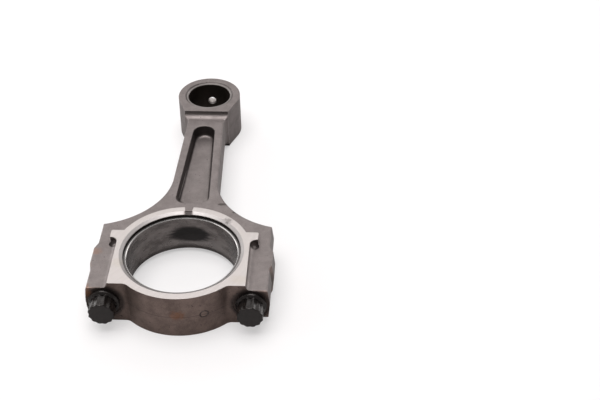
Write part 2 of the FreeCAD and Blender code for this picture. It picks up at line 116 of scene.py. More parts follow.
# ---- shader bench ---------------------------------------------------------------------------------
class Bench:
    """Places shader nodes in one node tree and wires them up."""

    def __init__(self, tree: bpy.types.NodeTree) -> None:
        """Keeps the tree that nodes are placed in."""
        self.tree = tree

    def node(self, kind: str, inputs: dict | None = None, **settings: object) -> bpy.types.Node:
        """Places a node.

        Args:
            kind: The node's type name.
            inputs: Socket name or index to a value or to a socket to link from.
            settings: Properties of the node itself.

        Returns:
            The new node.
        """
        made = self.tree.nodes.new(kind)
        for name, value in settings.items():
            setattr(made, name, value)
        for name, value in (inputs or {}).items():
            self.feed(made.inputs[name], value)
        return made

    def feed(self, socket: Socket, value: object) -> None:
        """Links a socket from another one, or sets its value."""
        if isinstance(value, Socket):
            self.tree.links.new(value, socket)
        elif socket.type == "RGBA":
            socket.default_value = (*value, 1.0)
        else:
            socket.default_value = value

    def math(self, operation: str, a: object, b: object = 0.0) -> Socket:
        """A Math node's result."""
        return self.node("ShaderNodeMath", {0: a, 1: b}, operation=operation).outputs[0]

    def size_of(self, value: object) -> Socket:
        """A value without its sign."""
        return self.math("ABSOLUTE", value)

    def both(self, first: object, *others: object) -> Socket:
        """The product of several masks."""
        for other in others:
            first = self.math("MULTIPLY", first, other)
        return first

    def either(self, first: object, *others: object) -> Socket:
        """The greater of several masks."""
        for other in others:
            first = self.math("MAXIMUM", first, other)
        return first

    def invert(self, mask: object) -> Socket:
        """One less the mask."""
        return self.math("SUBTRACT", 1.0, mask)

    def step(self, value: object, start: float, end: float) -> Socket:
        """A smooth step: 0 before start, 1 past end, which may be the lower of the two."""
        node = self.node("ShaderNodeMapRange", {"Value": value}, interpolation_type="SMOOTHSTEP", clamp=True)
        low, high = sorted((start, end))
        self.feed(node.inputs["From Min"], low)
        self.feed(node.inputs["From Max"], high)
        self.feed(node.inputs["To Min"], 0.0 if start < end else 1.0)
        self.feed(node.inputs["To Max"], 1.0 if start < end else 0.0)
        return node.outputs["Result"]

    def spread(self, mask: object, low: object, high: object) -> Socket:
        """A value between low and high by the mask."""
        node = self.node("ShaderNodeMapRange", {"Value": mask, "To Min": low, "To Max": high})
        return node.outputs["Result"]

    def mix(self, share: object, a: object, b: object) -> Socket:
        """Two colours mixed by a share."""
        node = self.node("ShaderNodeMix", data_type="RGBA", clamp_factor=True)
        for index, value in ((0, share), (6, a), (7, b)):
            self.feed(node.inputs[index], value)
        return node.outputs[2]

    def lay(self, colour: object, *layers: tuple[object, object]) -> Socket:
        """The colour with layers over it, each a mask and a colour."""
        for mask, layer in layers:
            colour = self.mix(mask, colour, layer)
        return colour

    def parts(self, vector: Socket) -> tuple[Socket, Socket, Socket]:
        """A vector's three parts."""
        split = self.node("ShaderNodeSeparateXYZ", {0: vector})
        return split.outputs[0], split.outputs[1], split.outputs[2]

    def join(self, x: object, y: object, z: object) -> Socket:
        """A vector made of three parts."""
        return self.node("ShaderNodeCombineXYZ", {0: x, 1: y, 2: z}).outputs[0]

    def length(self, x: object, y: object) -> Socket:
        """The distance from an axis, from two parts."""
        return self.math("SQRT", self.math("ADD", self.math("MULTIPLY", x, x), self.math("MULTIPLY", y, y)))

    def noise(self, vector: Socket, size: float, detail: float = 2.0, rough: float = 0.5) -> Socket:
        """Noise from 0 to 1 whose patches are about a size across, in metres."""
        node = self.node("ShaderNodeTexNoise", {"Vector": vector, "Scale": 1.0 / size, "Detail": detail,
                                                "Roughness": rough})
        return node.outputs[0]

    def stretched(self, vector: Socket, scale: tuple[float, float, float]) -> Socket:
        """The vector with each part scaled, for streaks."""
        return self.node("ShaderNodeMapping", {"Vector": vector, "Scale": scale}).outputs[0]


class Effect:
    """A shader node group that several finishes share."""

    def __init__(self, name: str, inputs: dict[str, tuple[str, object]], outputs: dict[str, str],
                 build: Callable[[Bench, dict[str, Socket]], dict[str, Socket]]) -> None:
        """Builds the group once.

        Args:
            name: The group's name.
            inputs: Input name to its kind (Float or Vector) and its usual value.
            outputs: Output name to its kind.
            build: Makes the nodes from the input sockets and gives the output sockets.
        """
        self.tree = bpy.data.node_groups.new(name, "ShaderNodeTree")
        for label, (kind, usual) in inputs.items():
            socket = self.tree.interface.new_socket(label, in_out="INPUT", socket_type=f"NodeSocket{kind}")
            socket.default_value = usual
        for label, kind in outputs.items():
            self.tree.interface.new_socket(label, in_out="OUTPUT", socket_type=f"NodeSocket{kind}")
        bench = Bench(self.tree)
        entry = bench.node("NodeGroupInput")
        made = build(bench, {label: entry.outputs[label] for label in inputs})
        bench.node("NodeGroupOutput", made)

    def place(self, bench: Bench, **inputs: object) -> bpy.types.bpy_prop_collection:
        """Places the group in a tree.

        Args:
            bench: The tree's bench.
            inputs: Values or links for the inputs, with _ for a space.

        Returns:
            The placed group's outputs.
        """
        node = bench.node("ShaderNodeGroup", node_tree=self.tree)
        for name, value in inputs.items():
            bench.feed(node.inputs[name.replace("_", " ")], value)
        return node.outputs


def peened_skin(bench: Bench, given: dict[str, Socket]) -> dict[str, Socket]:
    """Shot-peened forging skin: small dents, cloudy mottling and sparse dark specks.

    Args:
        bench: The group's bench.
        given: Place, Dent and Cloud.

    Returns:
        Height, Mottle and Specks.
    """
    place = given["Place"]
    dent = bench.math("DIVIDE", 1.0, given["Dent"])
    cells = bench.node("ShaderNodeTexVoronoi", {"Vector": place, "Scale": dent}, feature="SMOOTH_F1")
    grain = bench.node("ShaderNodeTexNoise", {"Vector": place, "Scale": dent, "Detail": 3.0})
    height = bench.math("ADD", cells.outputs["Distance"], grain.outputs[0])
    cloud = bench.node("ShaderNodeTexNoise", {"Vector": place, "Detail": 4.0, "Roughness": 0.65,
                                              "Scale": bench.math("DIVIDE", 1.0, given["Cloud"])})
    mottle = bench.step(bench.math("ADD", bench.math("MULTIPLY", cloud.outputs[0], 0.7),
                                   bench.math("MULTIPLY", grain.outputs[0], 0.3)), 0.32, 0.68)
    pepper = bench.node("ShaderNodeTexNoise", {"Vector": place, "Detail": 1.0,
                                               "Scale": bench.math("MULTIPLY", dent, 0.45)})
    specks = bench.both(bench.step(pepper.outputs[0], 0.70, 0.76), bench.step(cloud.outputs[0], 0.42, 0.6))
    return {"Height": height, "Mottle": mottle, "Specks": specks}


def tool_marks(bench: Bench, given: dict[str, Socket]) -> dict[str, Socket]:
    """Fine lines left by a grinding wheel or a turning tool, one after the other along a travel.

    Args:
        bench: The group's bench.
        given: Place, Travel (the distance that the lines follow) and Spacing.

    Returns:
        Height of the lines, and Shade, a broader streakiness.
    """
    count = bench.math("DIVIDE", given["Travel"], given["Spacing"])
    fine = bench.node("ShaderNodeTexNoise", {"W": count, "Scale": 1.0, "Detail": 3.0}, noise_dimensions="1D")
    broad = bench.node("ShaderNodeTexNoise", {"W": bench.math("MULTIPLY", count, 0.17), "Scale": 1.0,
                                              "Detail": 2.0}, noise_dimensions="1D")
    breaks = bench.noise(given["Place"], 4.0 * MM, 2.0)
    shade = bench.math("ADD", bench.math("MULTIPLY", broad.outputs[0], 0.6),
                       bench.math("MULTIPLY", breaks, 0.4))
    return {"Height": bench.math("MULTIPLY", fine.outputs[0], bench.step(breaks, 0.25, 0.6)), "Shade": shade}


def stain(bench: Bench, given: dict[str, Socket]) -> dict[str, Socket]:
    """A ragged stain, such as rust or old oil, round a centre; the lining uses it too for its painted sheen.

    Args:
        bench: The group's bench.
        given: Place, Centre, Reach (its half sizes), Ragged (how torn its edge is) and Soft (how wide
            the edge is).

    Returns:
        Mask of the stain.
    """
    away = bench.node("ShaderNodeVectorMath", {0: given["Place"], 1: given["Centre"]}, operation="SUBTRACT")
    share = bench.node("ShaderNodeVectorMath", {0: away.outputs[0], 1: given["Reach"]}, operation="DIVIDE")
    round_ = bench.node("ShaderNodeVectorMath", {0: share.outputs[0]}, operation="LENGTH")
    torn = bench.noise(given["Place"], 1.3 * MM, 4.0, 0.7)
    edge = bench.math("MULTIPLY", bench.math("SUBTRACT", torn, 0.5), given["Ragged"])
    into = bench.math("SUBTRACT", 0.75, bench.math("ADD", round_.outputs["Value"], edge))
    share_in = bench.math("ADD", bench.math("DIVIDE", into, bench.math("MULTIPLY", given["Soft"], 2.0)), 0.5)
    return {"Mask": bench.step(share_in, 0.0, 1.0)}


def rubbed_edges(bench: Bench, given: dict[str, Socket]) -> dict[str, Socket]:
    """Softened edges, and where they are rubbed bright.

    Args:
        bench: The group's bench.
        given: Radius of the edge, and Place for its uneven wear.

    Returns:
        Normal with the edges rounded, and Mask of the worn edge.
    """
    soft = bench.node("ShaderNodeBevel", {"Radius": given["Radius"]}, samples=6)
    true = bench.node("ShaderNodeNewGeometry")
    agree = bench.node("ShaderNodeVectorMath", {0: soft.outputs[0], 1: true.outputs["Normal"]},
                       operation="DOT_PRODUCT")
    worn = bench.step(agree.outputs["Value"], 0.995, 0.93)
    patchy = bench.step(bench.noise(given["Place"], 1.6 * MM, 3.0), 0.35, 0.62)
    return {"Normal": soft.outputs[0], "Mask": bench.both(worn, patchy)}


class Effects:
    """The shared effects, each built once."""

    def __init__(self) -> None:
        """Builds every shared effect."""
        place = ("Vector", (0.0, 0.0, 0.0))
        self.skin = Effect("peened_skin", {"Place": place, "Dent": ("Float", 0.5 * MM),
                                           "Cloud": ("Float", 5 * MM)},
                           {"Height": "Float", "Mottle": "Float", "Specks": "Float"}, peened_skin)
        self.marks = Effect("tool_marks", {"Place": place, "Travel": ("Float", 0.0),
                                           "Spacing": ("Float", 0.2 * MM)},
                            {"Height": "Float", "Shade": "Float"}, tool_marks)
        self.stain = Effect("stain", {"Place": place, "Centre": place, "Reach": ("Vector", (MM, MM, MM)),
                                      "Ragged": ("Float", 0.6), "Soft": ("Float", 0.4)},
                            {"Mask": "Float"}, stain)
        self.edges = Effect("rubbed_edges", {"Place": place, "Radius": ("Float", 0.2 * MM)},
                            {"Normal": "Vector", "Mask": "Float"}, rubbed_edges)


# ---- finishes -------------------------------------------------------------------------------------
@dataclass(frozen=True)
class Spot:
    """A stain on a surface: where, how big, what colour, how strong."""

    centre: tuple[float, float, float]
    reach: tuple[float, float, float]
    colour: Colour
    strength: float
    ragged: float = 0.6


RUST = (0.30, 0.115, 0.04)
OLD_OIL = (0.42, 0.34, 0.22)
GRIME = (0.035, 0.028, 0.025)
PUNCH_MARK = (13.2 * MM, 0.2 * MM)  # hardness-test ring on the cap's front: X and Z
EYE_STEP = 16.7 * MM  # from the small end's centre to the step above the shank
POCKET_HALF = 9 * MM  # half of the width that holds the shank's pocket
POCKET_FROM, POCKET_TO = 41 * MM, 110 * MM  # where the pocket lies along the shank
NOTCH_HALF = 2.2 * MM  # half width of the oil notch in the rod's thrust face
OIL_HOLE_R = 2.2 * MM  # the drilling in the top of the small end
ROD_SPOTS = (
    Spot((-0.0420, 0.0022, 0.0080), (0.0034, 0.0034, 0.004), RUST, 0.26, 1.6),
    Spot((0.0157, 0.0398, 0.0084), (0.0027, 0.0013, 0.002), GRIME, 0.75, 1.2),
    Spot((0.0224, 0.0337, 0.0084), (0.0014, 0.0010, 0.002), GRIME, 0.8, 1.2),
    Spot((-0.0188, 0.0392, 0.0080), (0.0014, 0.0013, 0.003), GRIME, 0.55, 1.2),
    Spot((0.0203, 0.0230, 0.0117), (0.0022, 0.0022, 0.002), GRIME, 0.5, 3.4),
    Spot((-0.0350, -0.0020, 0.0084), (0.0008, 0.0010, 0.002), GRIME, 0.6, 1.5),
)
CAP_SPOTS = (
    Spot((-0.0425, -0.0225, 0.006), (0.0030, 0.0028, 0.004), RUST, 0.45, 1.3),
    Spot((0.001, -0.0334, 0.0012), (0.0040, 0.003, 0.0034), RUST, 0.42, 1.7),
    Spot((0.029, -0.0195, 0.0118), (0.0055, 0.0035, 0.002), OLD_OIL, 0.16, 1.5),
    Spot((-0.029, -0.009, 0.0118), (0.0045, 0.004, 0.002), OLD_OIL, 0.14, 1.5),
)


@dataclass(frozen=True)
class ForgedFinish:
    """A shot-peened steel forging with machined faces."""

    skin: Colour = (0.230, 0.200, 0.193)
    skin_dark: Colour = (0.180, 0.155, 0.149)
    skin_rough: float = 0.43
    skin_metal: float = 0.85
    ground: Colour = (0.57, 0.525, 0.508)
    ground_dark: Colour = (0.48, 0.437, 0.420)
    ground_rough: float = 0.42
    turned: Colour = (0.48, 0.45, 0.44)
    turned_dark: Colour = (0.30, 0.275, 0.27)
    scale: Colour = (0.27, 0.200, 0.175)
    scale_dark: Colour = (0.17, 0.124, 0.108)
    # deep: near-black for the parting line and punch mark, and for painted shade in the recesses, under the
    # step, on the pocket walls and round the screw heads.
    deep: Colour = (0.03, 0.024, 0.022)
    spots: tuple[Spot, ...] = ()


@dataclass(frozen=True)
class LiningFinish:
    """A satin bearing lining, run in and worn, with a painted sheen, painted shade towards its lower edge,
    and its end face and back near-black.
    """

    satin: Colour = (0.29, 0.258, 0.248)
    satin_dark: Colour = (0.125, 0.109, 0.104)
    streak: Colour = (0.36, 0.34, 0.33)
    # A painted sheen: a lighter band below the wear patch.
    painted_sheen: Colour = (0.40, 0.37, 0.36)
    # Painted shade darkening the shell towards its lower edge.
    lower_edge_shade: Colour = (0.055, 0.048, 0.047)
    smear: Colour = (0.04, 0.036, 0.036)
    patch: Colour = (0.030, 0.028, 0.028)
    rim: Colour = (0.50, 0.48, 0.47)
    back: Colour = (0.045, 0.038, 0.036)
    rough: float = 0.24
    rough_cloud: float = 0.34
    rough_patch: float = 0.45
    metal: float = 0.85


@dataclass(frozen=True)
class TurnedFinish:
    """Turned or ground metal, with tool marks round an axis along Z."""

    bright: Colour
    dark: Colour
    rough: float
    axis_y: float = 0.0
    # bore: near-black painted shade for the pin bore's wall.
    bore: Colour | None = None
    metal: float = 0.9


@dataclass(frozen=True)
class OxideFinish:
    """Black oxide on a screw, thin on its edges, with a light film of oil."""

    black: Colour = (0.016, 0.013, 0.012)
    worn: Colour = (0.034, 0.028, 0.026)
    edge: Colour = (0.16, 0.145, 0.14)
    face: Colour = (0.045, 0.039, 0.037)
    rough: float = 0.22
    rough_dark: float = 0.34
    rough_face: float = 0.55
    metal: float = 0.75
    oil: float = 0.3


class Finisher:
    """Makes and assigns the finishes of all pieces."""

    def __init__(self, sizes: RodSizes, effects: Effects) -> None:
        """Keeps the sizes and the shared effects."""
        self.sizes = sizes
        self.effects = effects

    def start(self, name: str) -> tuple[bpy.types.Material, Bench, Socket, Socket]:
        """A new material with its coordinates.

        Args:
            name: The material's name.

        Returns:
            The material, its bench, the place on the object and the surface's direction.
        """
        material = bpy.data.materials.new(name)
        material.use_nodes = True
        material.node_tree.nodes.clear()
        bench = Bench(material.node_tree)
        spot = bench.node("ShaderNodeTexCoord")
        return material, bench, spot.outputs["Object"], spot.outputs["Normal"]

    def finish(self, bench: Bench, colour: Socket, rough: object, metal: object, height: Socket,
               relief: float, normal: Socket | None = None, coat: float = 0.0) -> None:
        """Ends a material in its shader.

        Args:
            bench: The material's bench.
            colour: Base colour.
            rough: Roughness.
            metal: How metallic it is.
            height: Fine relief from 0 to 1.
            relief: How high that relief stands, in metres.
            normal: Surface direction under the relief.
            coat: Weight of a thin clear film, such as oil.
        """
        bump = bench.node("ShaderNodeBump", {"Height": height, "Distance": relief, "Strength": 1.0})
        if normal is not None:
            bench.feed(bump.inputs["Normal"], normal)
        shader = bench.node("ShaderNodeBsdfPrincipled", {
            "Base Color": colour, "Roughness": rough, "Metallic": metal, "Normal": bump.outputs[0],
            "Coat Weight": coat, "Coat Roughness": 0.25})
        bench.node("ShaderNodeOutputMaterial", {"Surface": shader.outputs[0]})

    def spots(self, bench: Bench, place: Socket, colour: Socket, spots: Iterable[Spot]) -> Socket:
        """The colour with stains laid over it."""
        for spot in spots:
            mask = self.effects.stain.place(bench, Place=place, Centre=spot.centre, Reach=spot.reach,
                                            Ragged=spot.ragged)["Mask"]
            colour = bench.mix(bench.math("MULTIPLY", mask, spot.strength), colour, spot.colour)
        return colour

    def forged(self, name: str, look: ForgedFinish, zones: "ForgedZones") -> bpy.types.Material:
        """Forged steel whose machined faces are ground and turned.

        Args:
            name: The material's name.
            look: Colours and roughness.
            zones: Which faces are machined and which carry scale.

        Returns:
            The material.
        """
        material, bench, place, normal = self.start(name)
        skin = self.effects.skin.place(bench, Place=place, Dent=0.55 * MM, Cloud=6 * MM)
        masks = zones.masks(bench, place, normal, self.sizes)
        x, y, _ = bench.parts(place)
        wheel = bench.length(bench.math("ADD", x, 0.11), bench.math("SUBTRACT", y, 0.05))
        ground = self.effects.marks.place(bench, Place=place, Travel=wheel, Spacing=0.28 * MM)
        turned = self.effects.marks.place(bench, Place=place, Travel=bench.length(x, y), Spacing=0.1 * MM)
        edges = self.effects.edges.place(bench, Place=place, Radius=0.22 * MM)
        colour = bench.mix(skin["Mottle"], look.skin_dark, look.skin)
        if "scale" in masks:
            colour = bench.mix(masks["scale"], colour, bench.mix(skin["Mottle"], look.scale_dark, look.scale))
        # Near-black layers: the dark marks, partly painted shade, and painted shade in the recess above the
        # shells.
        colour = bench.lay(colour, (masks["dark"], look.deep),
                           (bench.math("MULTIPLY", skin["Specks"], 0.75), GRIME),
                           (masks["ground"], bench.mix(ground["Shade"], look.ground_dark, look.ground)),
                           (masks["turned"], bench.mix(turned["Shade"], look.turned_dark, look.turned)),
                           (masks["recess"], look.deep))
        colour = self.spots(bench, place, colour, look.spots)
        off_joint = bench.step(bench.size_of(y), 0.3 * MM, 0.8 * MM)
        colour = bench.mix(bench.both(edges["Mask"], off_joint, 0.3), colour, look.ground)
        machined = bench.either(masks["ground"], masks["turned"])
        rough = bench.spread(machined, bench.spread(skin["Mottle"], look.skin_rough + 0.08, look.skin_rough),
                             bench.spread(ground["Shade"], look.ground_rough + 0.08, look.ground_rough))
        metal = bench.spread(machined, look.skin_metal, 0.9)
        height = bench.math("ADD", bench.both(skin["Height"], bench.invert(machined)),
                            bench.both(ground["Height"], machined, 0.25))
        self.finish(bench, colour, rough, metal, height, 0.05 * MM, edges["Normal"])
        return material

    def lining(self, name: str, look: LiningFinish) -> bpy.types.Material:
        """A bearing lining with run-in streaks, a wear patch, a painted sheen and painted shade towards its
        lower edge.

        Args:
            name: The material's name.
            look: Colours and roughness.

        Returns:
            The material.
        """
        material, bench, place, _ = self.start(name)
        stain = self.effects.stain
        x, y, z = bench.parts(place)
        radius = bench.length(x, y)
        around = bench.math("MULTIPLY", bench.math("ARCTAN2", x, y), self.sizes.crankpin_r)
        sheet = bench.join(around, z, 0.0)
        run = bench.noise(bench.stretched(sheet, (0.12, 1.0, 1.0)), 0.9 * MM, 4.0, 0.6)
        cloud = bench.noise(bench.stretched(sheet, (0.45, 1.0, 1.0)), 5.5 * MM, 3.0, 0.6)
        hone = self.effects.marks.place(bench, Place=place, Travel=z, Spacing=0.12 * MM)
        drawn = bench.math("MULTIPLY", bench.math("SUBTRACT", run, 0.5), 7 * MM)
        streaked = bench.join(bench.math("ADD", around, drawn), z, 0.0)
        patch = stain.place(bench, Place=streaked, Centre=(0.0008, -0.0002, 0.0),
                            Reach=(0.0132, 0.0064, 1.0), Ragged=0.22, Soft=0.17)["Mask"]
        # Painted sheen: a lighter band painted below the wear patch.
        painted_sheen = stain.place(bench, Place=streaked, Centre=(0.0060, -0.0052, 0.0),
                            Reach=(0.0240, 0.0026, 1.0), Ragged=0.5, Soft=0.6)["Mask"]
        smear = stain.place(bench, Place=sheet, Centre=(-0.006, 0.0005, 0.0),
                            Reach=(0.009, 0.0032, 1.0), Ragged=1.4)["Mask"]
        bottom = -self.sizes.shell_z
        inner_r = self.sizes.crankpin_r
        colour = bench.lay(
            bench.mix(bench.step(cloud, 0.3, 0.7), look.satin_dark, look.satin),
            (bench.both(bench.step(run, 0.5, 0.72), 0.3), look.streak),
            # the painted sheen
            (bench.both(painted_sheen, 0.5), look.painted_sheen),
            # painted shade towards the shell's lower edge
            (bench.both(bench.step(z, bottom + 3.2 * MM, bottom + 1.2 * MM), 0.6), look.lower_edge_shade),
            (bench.both(smear, bench.step(run, 0.35, 0.6), 0.6), look.smear),
            (bench.both(patch, 0.92), look.patch),
            (bench.step(radius, inner_r + 0.03 * MM, inner_r + 0.12 * MM), look.rim),
            (bench.both(bench.step(radius, inner_r + 0.4 * MM, inner_r + 0.65 * MM), 0.85), look.back))
        rough = bench.spread(bench.step(cloud, 0.35, 0.7), look.rough, look.rough_cloud)
        rough = bench.spread(patch, rough, look.rough_patch)
        height = bench.math("ADD", bench.both(hone["Height"], 0.5), bench.both(run, 0.5))
        self.finish(bench, colour, rough, look.metal, height, 0.012 * MM)
        return material

    def turned_metal(self, name: str, look: TurnedFinish) -> bpy.types.Material:
        """Turned metal, with the pin bore's wall painted near-black as painted shade where a bore colour is
        given.

        Args:
            name: The material's name.
            look: Colours, roughness and the axis's place along Y.

        Returns:
            The material.
        """
        material, bench, place, _ = self.start(name)
        x, y, z = bench.parts(place)
        radius = bench.length(x, bench.math("SUBTRACT", y, look.axis_y))
        marks = self.effects.marks.place(bench, Place=place, Travel=bench.math("ADD", radius, z),
                                         Spacing=0.09 * MM)
        colour = bench.mix(marks["Shade"], look.dark, look.bright)
        # Painted shade: the pin bore's wall is painted near-black.
        if look.bore is not None:
            shaded_wall = bench.step(radius, self.sizes.pin_r + 0.12 * MM, self.sizes.pin_r + 0.03 * MM)
            colour = bench.mix(shaded_wall, colour, look.bore)
        edges = self.effects.edges.place(bench, Place=place, Radius=0.1 * MM)
        rough = bench.spread(marks["Shade"], look.rough + 0.1, look.rough)
        self.finish(bench, colour, rough, look.metal, marks["Height"], 0.01 * MM, edges["Normal"])
        return material

    def black_oxide(self, name: str, look: OxideFinish) -> bpy.types.Material:
        """Black oxide, duller on the head's flat face.

        Args:
            name: The material's name.
            look: Colours, roughness and oil.

        Returns:
            The material.
        """
        material, bench, place, normal = self.start(name)
        skin = self.effects.skin.place(bench, Place=place, Dent=0.35 * MM, Cloud=2.2 * MM)
        edges = self.effects.edges.place(bench, Place=place, Radius=0.22 * MM)
        colour = bench.mix(skin["Mottle"], look.black, look.worn)
        colour = bench.mix(bench.math("MULTIPLY", edges["Mask"], 0.35), colour, look.edge)
        _, y, _ = bench.parts(place)
        _, ny, _ = bench.parts(normal)
        front = self.sizes.screw_front
        face = bench.both(bench.step(y, front + 0.5 * MM, front + 0.2 * MM), bench.step(ny, -0.9, -0.98))
        colour = bench.mix(bench.both(face, 0.5), colour, look.face)
        rough = bench.spread(face, bench.spread(skin["Mottle"], look.rough_dark, look.rough), look.rough_face)
        self.finish(bench, colour, rough, look.metal, skin["Height"], 0.010 * MM, edges["Normal"], look.oil)
        return material


class ForgedZones(Enum):
    """Which forging a finish is for, since each is machined in its own places."""

    ROD = "rod"
    CAP = "cap"

    def masks(self, bench: Bench, place: Socket, normal: Socket, sizes: RodSizes) -> dict[str, Socket]:
        """Where the forging is ground, turned or scaled, and where shade is painted on it.

        Args:
            bench: The material's bench.
            place: The place on the object.
            normal: The surface's direction.
            sizes: The rod's sizes.

        Returns:
            The masks ground, turned, dark and recess, and for the cap scale. Dark holds the parting line, the
            cap's punch mark and painted shade (in the chamfer round the bush, under the step, on the pocket's
            walls and round the screw heads); recess is painted shade above the shells.
        """
        x, y, z = bench.parts(place)
        _, ny, nz = bench.parts(normal)
        aside, tilt, housing_r = bench.size_of(x), bench.size_of(nz), sizes.housing_r
        radius = bench.length(x, y)
        big_end = bench.step(y, sizes.centres / 2 + 1 * MM, sizes.centres / 2)
        top = bench.step(bench.size_of(z), sizes.face_z - 0.12 * MM, sizes.face_z - 0.03 * MM)
        ground = bench.both(bench.step(tilt, 0.97, 0.995), top, big_end)
        mouth = bench.step(radius, housing_r + 2.0 * MM, housing_r + 1.75 * MM)
        # Painted shade: the housing bore's strip just above the shells is painted near-black.
        recess = bench.both(bench.step(radius, housing_r + 0.3 * MM, housing_r + 0.1 * MM), big_end)
        notch = bench.both(bench.step(aside, NOTCH_HALF + 0.2 * MM, NOTCH_HALF), bench.step(y, 0.0, MM))
        turned = bench.both(mouth, bench.invert(ground), big_end, bench.invert(notch))
        wander = bench.math("SUBTRACT", bench.noise(place, 9 * MM, 2.0), 0.5)
        from_line = bench.size_of(bench.math("ADD", z, bench.math("MULTIPLY", wander, 0.7 * MM)))
        line = bench.both(bench.step(from_line, 0.22 * MM, 0.06 * MM), bench.step(tilt, 0.6, 0.3),
                          bench.invert(turned), 0.45)
        if self is ForgedZones.ROD:
            eye_mouth = bench.length(x, bench.math("SUBTRACT", y, sizes.centres))
            # Painted shade in the chamfer round the bush's mouth.
            rim = bench.step(eye_mouth, sizes.bush_r + 0.75 * MM, sizes.bush_r + 0.6 * MM)
            step_y = sizes.centres - EYE_STEP
            # Painted shade: the step's face below the small end, looking towards the front, is darkened.
            under = bench.both(bench.step(y, step_y - 1.6 * MM, step_y - 0.5 * MM),
                               bench.step(ny, -0.55, -0.85),
                               bench.step(y, step_y + 0.4 * MM, step_y + 0.2 * MM))
            # Painted shade: the upright walls of the shank's pocket are darkened.
            shaded_wall = bench.both(bench.step(tilt, 0.92, 0.55),
                              bench.step(aside, POCKET_HALF, POCKET_HALF - 0.5 * MM),
                              bench.step(y, POCKET_FROM, POCKET_FROM + 3 * MM),
                              bench.step(y, POCKET_TO, POCKET_TO - 1 * MM))
            drilled = bench.both(bench.step(bench.length(x, z), OIL_HOLE_R + 0.15 * MM, OIL_HOLE_R),
                                 bench.step(y, sizes.centres, sizes.centres + MM))
            # Dark: the parting line, with painted shade at the bush's chamfer, under the step and on the
            # pocket's walls.
            dark = bench.either(line, bench.both(rim, 0.4), bench.both(under, 0.6), bench.both(shaded_wall, 0.85))
            return {"ground": bench.either(ground, drilled), "turned": turned,
                    "dark": bench.both(dark, bench.invert(drilled)), "recess": recess}
        front = bench.both(bench.step(ny, -0.05, -0.35), bench.invert(turned))
        across, up = PUNCH_MARK
        from_mark = bench.length(bench.math("SUBTRACT", x, across), bench.math("SUBTRACT", z, up))
        ring = bench.both(bench.step(from_mark, 2.2 * MM, 2.0 * MM),
                          bench.step(from_mark, 1.4 * MM, 1.65 * MM))
        # Painted shade round each screw head on the cap's front.
        from_screw = bench.length(bench.math("SUBTRACT", aside, sizes.screw_x), z)
        seat = bench.step(from_screw, 11.0 * MM, 8.5 * MM)
        # Dark: the parting line and the punch mark, with painted shade round the screw heads.
        dark = bench.both(bench.either(line, bench.both(ring, 0.9), bench.both(seat, 0.8)), front)
        return {"ground": ground, "turned": turned, "scale": front, "dark": dark, "recess": recess}


def dress(node: str, material: bpy.types.Material) -> None:
    """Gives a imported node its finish."""
    piece = frame["nodes"][node]
    piece.data.materials.clear()
    piece.data.materials.append(material)
    log.info("%s dressed in %s", node, material.name)


